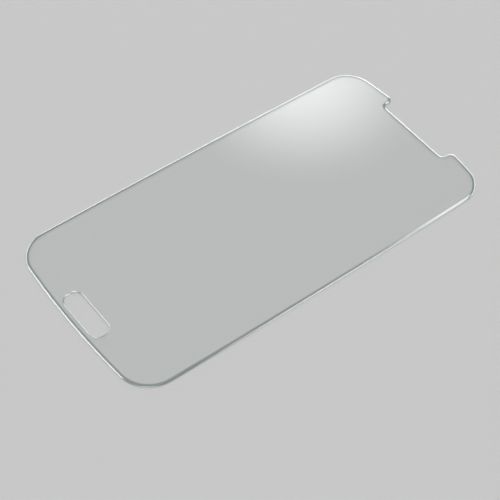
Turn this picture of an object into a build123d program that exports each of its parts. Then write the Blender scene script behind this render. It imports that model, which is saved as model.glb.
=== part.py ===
"""Screen protector of tempered glass for a phone with a home button.

One flat sheet lies on its underside at z = 0. +X runs across it, +Y along it towards the notch,
and +Z is its outer, bevelled side. All sizes are in millimetres.
"""

import os

from build123d import *

# The sheet
length = 131.0  # between the crowns of the two bowed ends
width = 64.5  # between the crowns of the two bowed long sides
thickness = 0.4

# How far each side bows out between its corners
side_bow = 0.5
bottom_bow = 1.9
top_bow = 2.85

# Rounding of the outline's corners
bottom_corner_radius = 10.4
top_corner_radius = 9.3

# Notch for the earpiece and sensors, in the top end
notch_width = 27.2
notch_depth = 4.75  # from the top crown, which the notch cuts away
notch_offset = 1.05  # towards +X, where the sensors sit beside the earpiece
notch_inner_radius = 1.5
notch_outer_radius = 2.0

# Rounded bevel along the whole upper rim
bevel_width = 1.1
rim_height = 0.2  # side wall that stays under the bevel

# Slot for the home button, in the bottom end
slot_length = 17.4
slot_width = 5.8
slot_end_flat = 0.4  # straight stretch in the middle of each end
slot_setback = 5.15  # from the bottom crown to the slot's middle line

# Small flats that take the sharpness off the other edges
slot_arris = 0.15
underside_arris = 0.05

# Places that follow from the sizes
bottom_crown = -length / 2
top_crown = length / 2
corner_x = width / 2 - side_bow
bottom_corner_y = bottom_crown + bottom_bow
top_corner_y = top_crown - top_bow
side_middle_y = (bottom_corner_y + top_corner_y) / 2
bottom_left = (-corner_x, bottom_corner_y)
bottom_right = (corner_x, bottom_corner_y)
top_right = (corner_x, top_corner_y)
top_left = (-corner_x, top_corner_y)
notch_floor = top_crown - notch_depth
slot_middle = bottom_crown + slot_setback
slot_corner_radius = (slot_width - slot_end_flat) / 2
bevel_drop = thickness - rim_height

with BuildPart() as sheet:
    # Outline: four bowed sides with rounded corners, and the notch cut into the top one
    with BuildSketch() as outline:
        with BuildLine():
            ThreePointArc(bottom_left, (0, bottom_crown), bottom_right)
            ThreePointArc(bottom_right, (width / 2, side_middle_y), top_right)
            ThreePointArc(top_right, (0, top_crown), top_left)
            ThreePointArc(top_left, (-width / 2, side_middle_y), bottom_left)
        make_face()
        fillet(outline.vertices().group_by(Axis.Y)[0], bottom_corner_radius)
        fillet(outline.vertices().group_by(Axis.Y)[-1], top_corner_radius)
        with Locations((notch_offset, notch_floor)):
            Rectangle(notch_width, length, align=(Align.CENTER, Align.MIN), mode=Mode.SUBTRACT)
        fillet(outline.vertices(Select.LAST).group_by(Axis.Y)[0], notch_inner_radius)
        fillet(outline.vertices().sort_by(Axis.Y)[-2:], notch_outer_radius)
    extrude(amount=thickness)

    # Bevel: an arc that leaves the upper face at a tangent and drops to the top of the rim
    rim = sheet.faces().sort_by(Axis.Z)[-1].outer_wire()
    outwards = (rim % 0).cross(Vector(0, 0, 1))
    with BuildSketch(Plane(origin=rim @ 0, x_dir=outwards, z_dir=-(rim % 0))):
        with BuildLine():
            slope = TangentArc((-bevel_width, 0), (0, -bevel_drop), tangent=(1, 0))
            Polyline(
                slope @ 1,
                (thickness, -bevel_drop),
                (thickness, thickness),
                (-bevel_width, thickness),
                slope @ 0,
            )
        make_face()
    sweep(path=rim, mode=Mode.SUBTRACT)

    # Slot, with a narrow flat round its upper edge
    with BuildSketch():
        with Locations((0, slot_middle)):
            RectangleRounded(slot_length, slot_width, slot_corner_radius)
    extrude(amount=thickness, mode=Mode.SUBTRACT)
    chamfer(sheet.faces().sort_by(Axis.Z)[-1].inner_wires()[0].edges(), slot_arris)

    # Narrower flat round every edge of the underside
    chamfer(sheet.faces().sort_by(Axis.Z)[0].edges(), underside_arris)

# The origin lies under the middle of the sheet's own box, whose top is the shoulders beside the notch
sheet.part.position -= (0, sheet.part.bounding_box().center().Y, 0)

sheet.part.label = "glass_sheet"
os.makedirs("parts", exist_ok=True)
export_step(sheet.part, "parts/glass_sheet.step")
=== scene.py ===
"""Screen protector of tempered glass, lying on a pale studio floor.

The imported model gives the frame: metres, +X across the sheet, +Y along it towards the notched end, +Z out of
its bevelled face, and the underside at z = 0. The sheet is modelled again here with a finer rim, because its
looks are all in the light that the rim and the polished faces bend and mirror.
"""

import logging
import math
from dataclasses import dataclass
from enum import Enum

import bmesh
import bpy
from mathutils import Matrix, Vector


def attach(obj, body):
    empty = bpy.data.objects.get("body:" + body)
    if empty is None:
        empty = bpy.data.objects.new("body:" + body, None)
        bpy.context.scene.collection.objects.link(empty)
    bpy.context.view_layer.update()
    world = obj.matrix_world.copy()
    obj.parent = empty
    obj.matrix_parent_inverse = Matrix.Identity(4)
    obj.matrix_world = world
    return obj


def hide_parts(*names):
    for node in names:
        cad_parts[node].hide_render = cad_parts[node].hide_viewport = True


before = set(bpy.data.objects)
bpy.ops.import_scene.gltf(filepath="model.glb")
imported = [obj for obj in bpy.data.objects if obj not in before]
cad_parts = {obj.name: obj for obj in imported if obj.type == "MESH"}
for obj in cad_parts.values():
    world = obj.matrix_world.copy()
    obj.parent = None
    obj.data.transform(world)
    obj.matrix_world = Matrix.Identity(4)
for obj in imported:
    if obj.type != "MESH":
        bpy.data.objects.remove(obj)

LOG = logging.getLogger("screen_protector")
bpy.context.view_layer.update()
NODE = "glass_sheet"
BODY = "root"
MM = 0.001
# Heights nearer to each other than this are the same, in metres
SAME_HEIGHT = 0.001 * MM
# A face is level if its normal is at least this upright, where 1 is straight up or down
LEVEL_NORMAL = 0.99


class Turn(Enum):
    """Which way an arc of the outline turns, seen from above."""

    LEFT = 1
    RIGHT = -1


def select_only(mesh: bmesh.types.BMesh, wanted: list) -> None:
    """Selects these vertices, edges or faces of the mesh in edit mode, and nothing else.

    Args:
        mesh: The mesh of the object in edit mode.
        wanted: Its elements to select.
    """
    for elements in (mesh.verts, mesh.edges, mesh.faces):
        for element in elements:
            element.select = False
    for element in wanted:
        element.select_set(True)
    mesh.select_flush_mode()


def is_level(edge: bmesh.types.BMEdge, height: float) -> bool:
    """Whether both ends of an edge lie at a height, in metres."""
    return all(abs(vert.co.z - height) < SAME_HEIGHT for vert in edge.verts)


def grey(level: float) -> tuple:
    """The grey of a level, as a colour."""
    return (level, level, level, 1.0)


@dataclass(frozen=True)
class Circle:
    """A circle in the plane of the sheet, in millimetres.

    Attributes:
        centre: Its centre.
        radius: Its radius.
    """

    centre: Vector
    radius: float

    def direction_to(self, point: Vector) -> float:
        """The angle at which a point lies, seen from the centre, in radians."""
        return math.atan2(point.y - self.centre.y, point.x - self.centre.x)

    def at(self, angle: float) -> Vector:
        """The circle's point at an angle."""
        return self.centre + self.radius * Vector((math.cos(angle), math.sin(angle)))


def bow_radius(half_chord: float, bow: float) -> float:
    """The radius of an arc that bows out by bow over a chord of twice half_chord."""
    return (half_chord**2 + bow**2) / (2 * bow)


def rounding(side: Circle, end: Circle, radius: float, near: Vector) -> Circle:
    """The circle of a radius that lies inside two large ones and touches both.

    Args:
        side: The circle of a long side.
        end: The circle of an end.
        radius: Radius of the rounding.
        near: A point near its centre, which picks one of the two places.

    Returns:
        The rounding's circle.
    """
    reach_side = side.radius - radius
    reach_end = end.radius - radius
    across = end.centre - side.centre
    along = (reach_side**2 - reach_end**2 + across.length_squared) / (2 * across.length)
    aside = math.sqrt(reach_side**2 - along**2)
    foot = side.centre + across.normalized() * along
    square = Vector((-across.y, across.x)).normalized() * aside
    return Circle(min(foot + square, foot - square, key=lambda place: (place - near).length), radius)


class OutlinePen:
    """Draws an outline in edit mode, stroke by stroke, by extruding and spinning its last vertex.

    Attributes:
        STEP_ANGLE: Largest turn from one vertex of an arc to the next, in radians.
        STEP_LENGTH: Largest distance between them, in millimetres.
        MERGE_DISTANCE: Within which the last vertex and the first become one, in millimetres.
    """

    STEP_ANGLE = math.radians(4)
    STEP_LENGTH = 2.5
    MERGE_DISTANCE = 0.01

    def __init__(self, start: Vector, height: float) -> None:
        """Puts the pen down.

        Args:
            start: The outline's first point, in millimetres.
            height: Of the outline over the underside, in millimetres.
        """
        self.height = height
        self.place = start.copy()
        bpy.ops.mesh.primitive_plane_add(size=MM, location=(0, 0, 0))
        bpy.ops.object.mode_set(mode="EDIT")
        bpy.ops.mesh.merge(type="CENTER")
        self.settle()

    def arc(self, circle: Circle, end_angle: float, turn: Turn = Turn.LEFT) -> None:
        """Goes along a circle, from where the pen is to an angle on it.

        Args:
            circle: The circle that the pen is on.
            end_angle: Where to stop, as an angle from the circle's centre.
            turn: Which way round to go.
        """
        swept = (turn.value * (end_angle - circle.direction_to(self.place))) % math.tau
        steps = max(math.ceil(swept / self.STEP_ANGLE), math.ceil(swept * circle.radius / self.STEP_LENGTH))
        bpy.ops.mesh.spin(
            steps=steps,
            angle=-turn.value * swept,
            center=(circle.centre.x * MM, circle.centre.y * MM, self.height * MM),
            axis=(0, 0, 1),
        )
        self.place = circle.at(end_angle)
        self.settle()

    def line(self, end: Vector) -> None:
        """Goes straight to a point.

        Args:
            end: The point, in millimetres.
        """
        step = (end - self.place) * MM
        bpy.ops.mesh.extrude_vertices_move(TRANSFORM_OT_translate={"value": (step.x, step.y, 0)})
        self.place = end.copy()

    def settle(self) -> None:
        """Moves the last vertex onto the pen's exact place, so that small errors of arcs don't add up."""
        mesh = bmesh.from_edit_mesh(bpy.context.edit_object.data)
        last = next(vert for vert in mesh.verts if vert.select)
        exact = Vector((self.place.x * MM, self.place.y * MM, self.height * MM))
        bpy.ops.transform.translate(value=exact - last.co)

    def close(self) -> None:
        """Joins the last vertex to the first and spans the outline with one face."""
        bpy.ops.mesh.select_all(action="SELECT")
        bpy.ops.mesh.remove_doubles(threshold=self.MERGE_DISTANCE * MM)
        bpy.ops.mesh.edge_face_add()


@dataclass
class GlassSheet:
    """The sheet, with its sizes in millimetres.

    Attributes:
        length: Between the crowns of the two bowed ends.
        width: Between the crowns of the two bowed long sides.
        thickness: Of the glass.
        side_bow: How far a long side bows out between its corners.
        bottom_bow: The same for the end with the slot.
        top_bow: The same for the end with the notch.
        bottom_corner: Rounding of the corners at the slot's end.
        top_corner: Rounding of the corners at the notch's end.
        notch_width: Between the notch's side walls.
        notch_depth: From the top crown to the notch's floor.
        notch_offset: From the sheet's middle line to the notch's, towards +X.
        notch_inner: Rounding between the notch's floor and its walls.
        notch_outer: Rounding between its walls and the shoulders.
        bevel_width: Of the rounded bevel along the upper rim.
        rim_height: Of the side wall under the bevel.
        slot_length: Of the home-button slot.
        slot_width: Of the same.
        slot_end_flat: Straight stretch in the middle of each of its ends.
        slot_setback: From the bottom crown to the slot's middle line.
        slot_facets: Slope in degrees and width of each facet that rounds the slot's upper edge, from
            its wall up.
        underside_arris: Flat round every lower edge.
        bevel_rings: How many rings of faces the bevel has.
        slot_segments: How many edges each rounding of the slot has.
        crisp_angle: From which the edge between two faces stays crisp, in degrees.
    """

    length: float = 131.0
    width: float = 64.5
    thickness: float = 0.4
    side_bow: float = 0.5
    bottom_bow: float = 1.9
    top_bow: float = 2.85
    bottom_corner: float = 10.4
    top_corner: float = 9.3
    notch_width: float = 27.2
    notch_depth: float = 4.75
    notch_offset: float = 1.05
    notch_inner: float = 1.5
    notch_outer: float = 2.0
    bevel_width: float = 1.1
    rim_height: float = 0.2
    slot_length: float = 17.4
    slot_width: float = 5.8
    slot_end_flat: float = 0.4
    slot_setback: float = 5.15
    slot_facets: tuple = ((45, 0.18), (25, 0.18))
    underside_arris: float = 0.05
    bevel_rings: int = 10
    slot_segments: int = 18
    crisp_angle: float = 12.0

    def draw_outline(self) -> None:
        """Draws the outline anticlockwise from the bottom crown, in strokes that run into each other."""
        bottom_crown = -self.length / 2
        top_crown = self.length / 2
        corner_x = self.width / 2 - self.side_bow
        low = bottom_crown + self.bottom_bow
        high = top_crown - self.top_bow
        end_radius = bow_radius(corner_x, self.bottom_bow)
        bottom = Circle(Vector((0, bottom_crown + end_radius)), end_radius)
        end_radius = bow_radius(corner_x, self.top_bow)
        top = Circle(Vector((0, top_crown - end_radius)), end_radius)
        side_radius = bow_radius((high - low) / 2, self.side_bow)
        notch_floor = top_crown - self.notch_depth

        pen = OutlinePen(Vector((0, bottom_crown)), self.underside_arris)
        # The right half goes up to the notch's floor, and the left half comes down from it
        for hand in (1, -1):
            side = Circle(Vector((hand * (self.width / 2 - side_radius), (low + high) / 2)), side_radius)
            bottom_corner = rounding(side, bottom, self.bottom_corner, Vector((hand * corner_x, low)))
            top_corner = rounding(side, top, self.top_corner, Vector((hand * corner_x, high)))
            wall = self.notch_offset + hand * self.notch_width / 2
            shoulder_x = wall + hand * self.notch_outer
            shoulder_y = top.centre.y + math.sqrt((top.radius - self.notch_outer) ** 2 - shoulder_x**2)
            shoulder = Circle(Vector((shoulder_x, shoulder_y)), self.notch_outer)
            inner_x = wall - hand * self.notch_inner
            inner = Circle(Vector((inner_x, notch_floor + self.notch_inner)), self.notch_inner)
            if hand > 0:
                pen.arc(bottom, bottom.direction_to(bottom_corner.centre))
                pen.arc(bottom_corner, side.direction_to(bottom_corner.centre))
                pen.arc(side, side.direction_to(top_corner.centre))
                pen.arc(top_corner, top.direction_to(top_corner.centre))
                pen.arc(top, top.direction_to(shoulder.centre))
                pen.arc(shoulder, math.pi)
                pen.line(inner.at(0))
                pen.arc(inner, -math.pi / 2, Turn.RIGHT)
            else:
                pen.line(inner.at(-math.pi / 2))
                pen.arc(inner, math.pi, Turn.RIGHT)
                pen.line(shoulder.at(0))
                pen.arc(shoulder, top.direction_to(shoulder.centre))
                pen.arc(top, top.direction_to(top_corner.centre))
                pen.arc(top_corner, side.direction_to(top_corner.centre))
                pen.arc(side, side.direction_to(bottom_corner.centre))
                pen.arc(bottom_corner, bottom.direction_to(bottom_corner.centre))
                pen.arc(bottom, -math.pi / 2)
        pen.close()

    def raise_rim(self) -> None:
        """Raises the side wall from the outline, then the bevel's rings, and leaves the upper face open."""
        bpy.ops.mesh.extrude_region_move(
            TRANSFORM_OT_translate={"value": (0, 0, (self.rim_height - self.underside_arris) * MM)}
        )
        radius = bow_radius(self.bevel_width, self.thickness - self.rim_height)
        steepest = math.asin(self.bevel_width / radius)
        for ring in range(self.bevel_rings):
            lower = steepest * (1 - ring / self.bevel_rings)
            upper = steepest * (1 - (ring + 1) / self.bevel_rings)
            bpy.ops.mesh.inset(
                thickness=radius * (math.sin(lower) - math.sin(upper)) * MM,
                depth=radius * (math.cos(upper) - math.cos(lower)) * MM,
            )
        bpy.ops.mesh.delete(type="ONLY_FACE")

    def ease_underside(self) -> None:
        """Lowers the arris round the underside and leaves the underside open."""
        mesh = bmesh.from_edit_mesh(bpy.context.edit_object.data)
        select_only(mesh, [face for face in mesh.faces if face.normal.z < -LEVEL_NORMAL])
        bpy.ops.mesh.inset(thickness=self.underside_arris * MM, depth=self.underside_arris * MM)
        bpy.ops.mesh.delete(type="ONLY_FACE")

    def wall_slot(self) -> None:
        """Makes the slot's wall, with its lower arris and its upper facets, from the underside up."""
        middle = Vector((0, (self.slot_setback - self.length / 2) * MM, 0))
        bpy.ops.mesh.select_all(action="DESELECT")
        bpy.ops.mesh.primitive_plane_add(size=1, location=middle)
        self.stretch_slot(middle, (self.slot_length * MM, self.slot_width * MM, 1))
        radius = (self.slot_width - self.slot_end_flat) / 2
        bpy.ops.mesh.bevel(offset=radius * MM, segments=self.slot_segments, affect="VERTICES")
        bpy.ops.mesh.delete(type="ONLY_FACE")
        mesh = bmesh.from_edit_mesh(bpy.context.edit_object.data)
        select_only(mesh, [edge for edge in mesh.edges if edge.is_wire])
        self.grow_slot(middle, self.underside_arris)
        facets = [
            (width * math.sin(math.radians(slope)), width * math.cos(math.radians(slope)))
            for slope, width in self.slot_facets
        ]
        wall = self.thickness - self.underside_arris - sum(rise for rise, growth in facets)
        for rise, growth in [(self.underside_arris, -self.underside_arris), (wall, 0.0), *facets]:
            bpy.ops.mesh.extrude_region_move(TRANSFORM_OT_translate={"value": (0, 0, rise * MM)})
            self.grow_slot(middle, growth)

    def grow_slot(self, middle: Vector, growth: float) -> None:
        """Moves the slot's selected edge outwards all round, by growth in millimetres."""
        scale = (1 + 2 * growth / self.slot_length, 1 + 2 * growth / self.slot_width, 1)
        self.stretch_slot(middle, scale)

    @staticmethod
    def stretch_slot(middle: Vector, scale: tuple) -> None:
        """Scales what is selected about the slot's middle."""
        bpy.ops.transform.resize(value=scale, center_override=middle)

    def fill_faces(self) -> None:
        """Spans the two polished faces, each between the rim and the slot, and keeps their edges crisp."""
        for height in (self.thickness * MM, 0.0):
            mesh = bmesh.from_edit_mesh(bpy.context.edit_object.data)
            level = [edge for edge in mesh.edges if edge.is_boundary and is_level(edge, height)]
            select_only(mesh, level)
            bpy.ops.mesh.mark_sharp()
            bpy.ops.mesh.fill()
        bpy.ops.mesh.select_all(action="SELECT")
        bpy.ops.mesh.normals_make_consistent(inside=False)

    def centre(self) -> None:
        """Moves the mesh along the sheet until its own box is centred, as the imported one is."""
        mesh = bmesh.from_edit_mesh(bpy.context.edit_object.data)
        places = [vert.co.y for vert in mesh.verts]
        bpy.ops.transform.translate(value=(0, -(min(places) + max(places)) / 2, 0))

    def build(self) -> bpy.types.Object:
        """Models the sheet.

        Returns:
            The sheet's object, at the origin.
        """
        bpy.ops.object.select_all(action="DESELECT")
        self.draw_outline()
        self.raise_rim()
        self.ease_underside()
        self.wall_slot()
        self.fill_faces()
        self.centre()
        bpy.ops.object.mode_set(mode="OBJECT")
        bpy.ops.object.shade_smooth_by_angle(angle=math.radians(self.crisp_angle), keep_sharp_edges=True)
        sheet = bpy.context.active_object
        sheet.name = "tempered_glass"
        sheet.data.name = "tempered_glass"
        return sheet


def soft_mottle(detail: float = 4.0, fineness: float = 0.55) -> bpy.types.NodeTree:
    """Makes the node group for the faint cloudy unevenness of a wiped surface.

    Args:
        detail: How many finer layers of clouds there are.
        fineness: How strong each layer is, as a share of the coarser one before it.

    Returns:
        The group, which takes Size in metres and puts out Value, a number about 0 to 1.
    """
    group = bpy.data.node_groups.new("soft_mottle", "ShaderNodeTree")
    group.interface.new_socket("Size", in_out="INPUT", socket_type="NodeSocketFloat")
    group.interface.new_socket("Value", in_out="OUTPUT", socket_type="NodeSocketFloat")
    inputs = group.nodes.new("NodeGroupInput")
    outputs = group.nodes.new("NodeGroupOutput")
    place = group.nodes.new("ShaderNodeTexCoord")
    shrink = group.nodes.new("ShaderNodeMath")
    shrink.operation = "DIVIDE"
    shrink.inputs[0].default_value = 1.0
    noise = group.nodes.new("ShaderNodeTexNoise")
    noise.inputs["Detail"].default_value = detail
    noise.inputs["Roughness"].default_value = fineness
    link = group.links.new
    link(inputs.outputs["Size"], shrink.inputs[1])
    link(shrink.outputs[0], noise.inputs["Scale"])
    link(place.outputs["Object"], noise.inputs["Vector"])
    link(noise.outputs["Fac"], outputs.inputs["Value"])
    return group


@dataclass(frozen=True)
class Ground:
    """How the glass looks where its surface was worked in one way.

    Attributes:
        tint_and_shade: Colour of the glass, seen through this surface; on the bevel it is darkened further by
            painted shade.
        passed: Share of a lamp's light that the surface lets straight through, and doesn't bend aside.
        roughness: Least roughness of the surface.
        coat: How much of the surface the hard coat covers.
    """

    tint_and_shade: tuple
    passed: tuple
    roughness: float
    coat: float


@dataclass(frozen=True)
class ClearGlass:
    """Clear tempered glass with polished faces, a bevel with a hard coat and ground side walls.

    Attributes:
        face: The polished faces.
        bevel: The bevel and the slot's facets, which show the glass's own green, darkened further by painted
            shade into a dark band along the rim.
        wall: The side walls.
        brim: Height over which the bevel's look turns into its neighbour's, in millimetres.
        refraction: Index of refraction.
        gloss: How strongly the glass mirrors, where 0.5 is the plain share.
        coat_refraction: Index of refraction of the hard coat, which makes the bevel mirror more than
            the faces.
        coat_roughness: Roughness of the hard coat.
        smear: Size of the faint unevenness left by wiping, in metres.
        unevenness: How much the roughness varies with it.
        cloud_range: Least and greatest value of the mottle between which it varies.
    """

    face: Ground = Ground(
        tint_and_shade=(0.98, 0.995, 0.99, 1.0), passed=(0.95, 0.955, 0.955, 1.0), roughness=0.0, coat=0.0
    )
    # The bevel's tint is the glass's green, darkened further by painted shade for a dark band inside the rim's
    # bright line
    bevel: Ground = Ground(
        tint_and_shade=(0.5, 0.59, 0.58, 1.0), passed=(0.52, 0.57, 0.565, 1.0), roughness=0.05, coat=1.0
    )
    wall: Ground = Ground(
        tint_and_shade=(0.64, 0.71, 0.7, 1.0), passed=(0.52, 0.57, 0.565, 1.0), roughness=0.8, coat=0.0
    )
    brim: float = 0.015
    refraction: float = 1.52
    gloss: float = 0.7
    coat_refraction: float = 3.0
    coat_roughness: float = 0.05
    smear: float = 0.012
    unevenness: float = 0.03
    cloud_range: tuple = (0.3, 0.7)

    def material(self, sheet: GlassSheet, mottle: bpy.types.NodeTree) -> bpy.types.Material:
        """Makes the material.

        Args:
            sheet: The sheet, for the heights between which its edges lie.
            mottle: The node group of faint unevenness.

        Returns:
            The material.
        """
        material = bpy.data.materials.new("clear_glass")
        material.use_nodes = True
        tree = material.node_tree
        link = tree.links.new
        glass = tree.nodes["Principled BSDF"]
        glass.inputs["IOR"].default_value = self.refraction
        glass.inputs["Transmission Weight"].default_value = 1.0
        glass.inputs["Specular IOR Level"].default_value = self.gloss
        glass.inputs["Coat IOR"].default_value = self.coat_refraction
        glass.inputs["Coat Roughness"].default_value = self.coat_roughness
        grounds = (self.face, self.wall, self.bevel)
        mid_bevel = (sheet.rim_height + sheet.thickness) / 2
        bevel_foot = sheet.rim_height + self.brim
        # On the bevel this colour is painted shade as well as the glass's green
        tint_and_shade = self.by_height(tree, sheet, [ground.tint_and_shade for ground in grounds], mid_bevel)
        link(tint_and_shade, glass.inputs["Base Color"])
        least = self.by_height(tree, sheet, [grey(ground.roughness) for ground in grounds], bevel_foot)
        link(self.uneven(tree, least, mottle), glass.inputs["Roughness"])
        coat = self.by_height(tree, sheet, [grey(ground.coat) for ground in grounds], bevel_foot)
        link(coat, glass.inputs["Coat Weight"])

        # Light on its way to the floor passes straight through, as it nearly does in a thin flat sheet
        passed = tree.nodes.new("ShaderNodeBsdfTransparent")
        share = self.by_height(tree, sheet, [ground.passed for ground in grounds], mid_bevel)
        link(share, passed.inputs["Color"])
        path = tree.nodes.new("ShaderNodeLightPath")
        shader = glass.outputs["BSDF"]
        for ray in ("Is Diffuse Ray", "Is Shadow Ray"):
            choice = tree.nodes.new("ShaderNodeMixShader")
            link(path.outputs[ray], choice.inputs["Fac"])
            link(shader, choice.inputs[1])
            link(passed.outputs["BSDF"], choice.inputs[2])
            shader = choice.outputs["Shader"]
        link(shader, tree.nodes["Material Output"].inputs["Surface"])
        return material

    def by_height(
        self, tree: bpy.types.NodeTree, sheet: GlassSheet, colours: list, bevel_start: float
    ) -> bpy.types.NodeSocket:
        """Adds the nodes for a colour that changes from the underside up to the upper face.

        Args:
            tree: The material's nodes.
            sheet: The sheet, for the heights between which its edges lie.
            colours: The colour on the faces, on the side walls and on the bevel.
            bevel_start: Height from which the bevel has its full colour, in millimetres.

        Returns:
            The colour's socket.
        """
        face, wall, bevel = colours
        stops = (
            (sheet.underside_arris, wall),
            (sheet.rim_height, wall),
            (bevel_start, bevel),
            (sheet.thickness - self.brim, bevel),
            (sheet.thickness, face),
        )
        place = tree.nodes.new("ShaderNodeTexCoord")
        apart = tree.nodes.new("ShaderNodeSeparateXYZ")
        share = tree.nodes.new("ShaderNodeMapRange")
        share.inputs["From Max"].default_value = sheet.thickness * MM
        ramp = tree.nodes.new("ShaderNodeValToRGB")
        ramp.color_ramp.elements.remove(ramp.color_ramp.elements[1])
        ramp.color_ramp.elements[0].color = face
        for height, colour in stops:
            stop = ramp.color_ramp.elements.new(height / sheet.thickness)
            stop.color = colour
        tree.links.new(place.outputs["Object"], apart.inputs["Vector"])
        tree.links.new(apart.outputs["Z"], share.inputs["Value"])
        tree.links.new(share.outputs["Result"], ramp.inputs["Fac"])
        return ramp.outputs["Color"]

    def uneven(
        self, tree: bpy.types.NodeTree, least: bpy.types.NodeSocket, mottle: bpy.types.NodeTree
    ) -> bpy.types.NodeSocket:
        """Adds the nodes that make a roughness cloudy.

        Args:
            tree: The material's nodes.
            least: Socket of the least roughness.
            mottle: The node group of faint unevenness.

        Returns:
            The cloudy roughness's socket.
        """
        cloud = tree.nodes.new("ShaderNodeGroup")
        cloud.node_tree = mottle
        cloud.inputs["Size"].default_value = self.smear
        spread = tree.nodes.new("ShaderNodeMapRange")
        least_cloudy, most_cloudy = self.cloud_range
        spread.inputs["From Min"].default_value = least_cloudy
        spread.inputs["From Max"].default_value = most_cloudy
        spread.inputs["To Max"].default_value = self.unevenness
        total = tree.nodes.new("ShaderNodeMath")
        tree.links.new(cloud.outputs["Value"], spread.inputs["Value"])
        tree.links.new(least, total.inputs[0])
        tree.links.new(spread.outputs["Result"], total.inputs[1])
        return total.outputs["Value"]


@dataclass(frozen=True)
class PaleFloor:
    """The studio's floor.

    Attributes:
        colour: Its paint.
        roughness: Of the paint.
        gloss: How strongly the paint mirrors.
        size: Of its side, in metres.
        gap: How far it lies under the sheet, in metres.
    """

    colour: tuple = grey(0.58)
    roughness: float = 0.9
    gloss: float = 0.0
    size: float = 6.0
    gap: float = 0.00002

    def build(self) -> None:
        """Makes the floor, which is no part of the object."""
        bpy.ops.object.select_all(action="DESELECT")
        bpy.ops.mesh.primitive_plane_add(size=self.size, location=(0, 0, -self.gap))
        floor = bpy.context.active_object
        floor.name = "studio_floor"
        material = bpy.data.materials.new("pale_paint")
        material.use_nodes = True
        paint = material.node_tree.nodes["Principled BSDF"]
        paint.inputs["Base Color"].default_value = self.colour
        paint.inputs["Roughness"].default_value = self.roughness
        paint.inputs["Specular IOR Level"].default_value = self.gloss
        floor.data.materials.append(material)


@dataclass(frozen=True)
class Softbox:
    """A soft studio lamp, brightest in the middle of its face.

    Attributes:
        name: What it is there for.
        direction: From the sheet's middle to the lamp.
        size: Its width and height, in metres.
        level: How bright the middle of its face is, where 1 is white.
        along: Direction of its width.
        core: Share of its face, from the middle out, that is as bright as the middle.
        distance: From the sheet's middle to the lamp, in metres.
    """

    name: str
    direction: tuple
    size: tuple
    level: float
    along: tuple
    core: float
    distance: float = 4.0

    def build(self) -> None:
        """Hangs the lamp with its face to the sheet."""
        towards = Vector(self.direction).normalized()
        bpy.ops.object.light_add(type="AREA", location=towards * self.distance)
        lamp = bpy.context.active_object
        lamp.name = self.name
        upwards = towards.cross(Vector(self.along)).normalized()
        turn = Matrix((upwards.cross(towards), upwards, towards)).transposed()
        lamp.rotation_euler = turn.to_euler()
        width, height = self.size
        lamp.data.shape = "RECTANGLE"
        lamp.data.size = width
        lamp.data.size_y = height
        lamp.data.energy = self.level * math.pi * width * height
        self.fade_edges(lamp.data)

    def fade_edges(self, lamp: bpy.types.Light) -> None:
        """Lets the lamp's face fade out towards its edges, as the cloth of a softbox does.

        Args:
            lamp: The area lamp.
        """
        lamp.use_nodes = True
        nodes = lamp.node_tree.nodes
        link = lamp.node_tree.links.new
        # The face's own coordinates run from 0 to 1 along its width and its height
        half_face = 0.5
        place = nodes.new("ShaderNodeNewGeometry")
        offset = nodes.new("ShaderNodeVectorMath")
        offset.operation = "DISTANCE"
        offset.inputs[1].default_value = (half_face, half_face, 0.0)
        fade = nodes.new("ShaderNodeMapRange")
        fade.interpolation_type = "SMOOTHERSTEP"
        fade.inputs["From Min"].default_value = half_face
        fade.inputs["From Max"].default_value = half_face * self.core
        link(place.outputs["Parametric"], offset.inputs[0])
        link(offset.outputs["Value"], fade.inputs["Value"])
        link(fade.outputs["Result"], nodes["Emission"].inputs["Strength"])


@dataclass(frozen=True)
class PhotoCamera:
    """The camera at the photograph's viewing angle.

    Attributes:
        aim: Point of the sheet's underside in the middle of the picture, in metres.
        distance: From there to the camera, in metres.
        azimuth: Direction of the camera, in degrees from -Y towards +X.
        elevation: Of the camera over the floor, in degrees.
        roll: Turn of the camera about its own view, in degrees.
        lens: Focal length, in millimetres.
        sensor: Width of the picture behind the lens, in millimetres.
        nearest: Nearest distance that the camera sees, in metres.
    """

    aim: tuple = (0.00853, -0.00896, 0.0)
    distance: float = 0.41389
    azimuth: float = 49.271
    elevation: float = 51.236
    roll: float = 3.669
    lens: float = 102.863
    sensor: float = 36.0
    nearest: float = 0.01

    def build(self) -> None:
        """Sets up the camera and makes it the scene's."""
        turn = (
            Matrix.Rotation(math.radians(self.azimuth), 3, "Z")
            @ Matrix.Rotation(math.radians(90 - self.elevation), 3, "X")
            @ Matrix.Rotation(math.radians(self.roll), 3, "Z")
        )
        place = Vector(self.aim) + turn @ Vector((0, 0, self.distance))
        bpy.ops.object.camera_add(location=place, rotation=turn.to_euler())
        camera = bpy.context.active_object
        camera.name = "photo_camera"
        camera.data.sensor_width = self.sensor
        camera.data.lens = self.lens
        camera.data.clip_start = self.nearest
        bpy.context.scene.camera = camera


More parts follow.
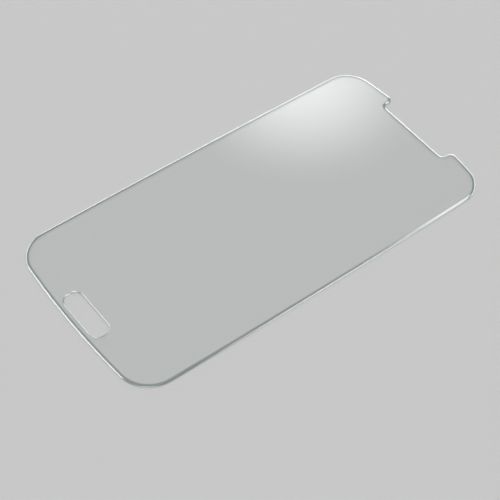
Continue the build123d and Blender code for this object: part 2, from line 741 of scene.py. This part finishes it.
@dataclass
class Studio:
    """The floor, lamps, surrounding light and camera.

    Attributes:
        walls: Brightness of the studio's pale walls, near the floor.
        ceiling: Brightness of its dimmer ceiling.
        wall_top: Where the walls have faded into the ceiling, as the sine of the height angle.
        lamps: The softboxes.
    """

    walls: float = 0.55
    ceiling: float = 0.28
    wall_top: float = 0.25
    # Each lamp: its name, direction, size, level, direction of its width and core
    lamps: tuple = (
        Softbox("near_side_light", (0.2, 0.46, 0.86), (1.8, 1.5), 2.2, (1.0, 0.0, 0.0), 0.45),
        Softbox("notch_light", (-0.1, 0.57, 0.82), (2.2, 0.91), 2.0, (1.0, 0.0, 0.0), 0.3),
        Softbox("near_end_light", (-0.52, -0.28, 0.81), (1.9, 1.35), 2.5, (1.0, 0.0, 0.0), 0.75),
        Softbox("left_light", (-0.83, -0.08, 0.55), (3.6, 1.13), 1.8, (0.39, -0.67, 0.63), 0.7),
        Softbox("low_left_light", (-0.87, 0.4, 0.3), (2.0, 1.31), 2.2, (0.41, 0.89, 0.0), 0.7),
        Softbox("low_corner_light", (-0.7, 0.7, 0.18), (2.0, 1.35), 2.3, (0.71, 0.71, 0.0), 0.7),
        Softbox("low_back_light", (-0.44, 0.85, 0.3), (2.0, 1.31), 2.4, (0.89, 0.42, 0.0), 0.7),
        Softbox("corner_light", (-0.63, 0.62, 0.46), (2.9, 1.24), 1.4, (0.71, 0.71, 0.0), 0.6),
        Softbox("back_light", (-0.06, 0.83, 0.555), (3.3, 0.87), 2.4, (0.44, -0.23, 0.45), 0.65),
        Softbox("right_light", (0.76, 0.4, 0.51), (2.9, 0.62), 3.4, (-0.42, 0.9, -0.28), 0.2),
        Softbox("camera_light", (0.55, -0.58, 0.6), (2.7, 0.62), 3.8, (0.6, 0.8, 0.0), 0.3),
        Softbox("fill_light", (0.26, -0.24, 0.93), (5.0, 3.5), 3.8, (0.66, 0.75, 0.0), 0.3),
        Softbox(
            "sheen_light", (-0.545, 0.515, 0.662), (0.3, 0.24), 3.6, (0.7, 0.71, 0.0), 0.0, distance=0.953
        ),
    )

    def build(self) -> None:
        """Sets up the studio round the sheet."""
        scene = bpy.context.scene
        scene.view_settings.view_transform = "Standard"
        scene.world = self.room()
        PaleFloor().build()
        for lamp in self.lamps:
            lamp.build()
        PhotoCamera().build()

    def room(self) -> bpy.types.World:
        """Makes the room's own light, which fades from the walls up to the ceiling.

        Returns:
            The world.
        """
        world = bpy.data.worlds.new("studio")
        world.use_nodes = True
        nodes = world.node_tree.nodes
        link = world.node_tree.links.new
        place = nodes.new("ShaderNodeTexCoord")
        apart = nodes.new("ShaderNodeSeparateXYZ")
        fade = nodes.new("ShaderNodeMapRange")
        fade.inputs["From Max"].default_value = self.wall_top
        fade.inputs["To Min"].default_value = self.walls
        fade.inputs["To Max"].default_value = self.ceiling
        background = nodes["Background"]
        background.inputs["Color"].default_value = grey(1.0)
        link(place.outputs["Generated"], apart.inputs["Vector"])
        link(apart.outputs["Z"], fade.inputs["Value"])
        link(fade.outputs["Result"], background.inputs["Strength"])
        return world


def main() -> None:
    """Builds the sheet and the studio."""
    logging.basicConfig(level=logging.INFO, format="%(name)s: %(message)s")
    mottle = soft_mottle()
    sheet = GlassSheet()
    piece = sheet.build()
    piece.data.materials.append(ClearGlass().material(sheet, mottle))
    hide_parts(NODE)
    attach(piece, BODY)
    LOG.info("%s: %d faces", piece.name, len(piece.data.polygons))
    Studio().build()


if __name__ == "__main__":
    main()
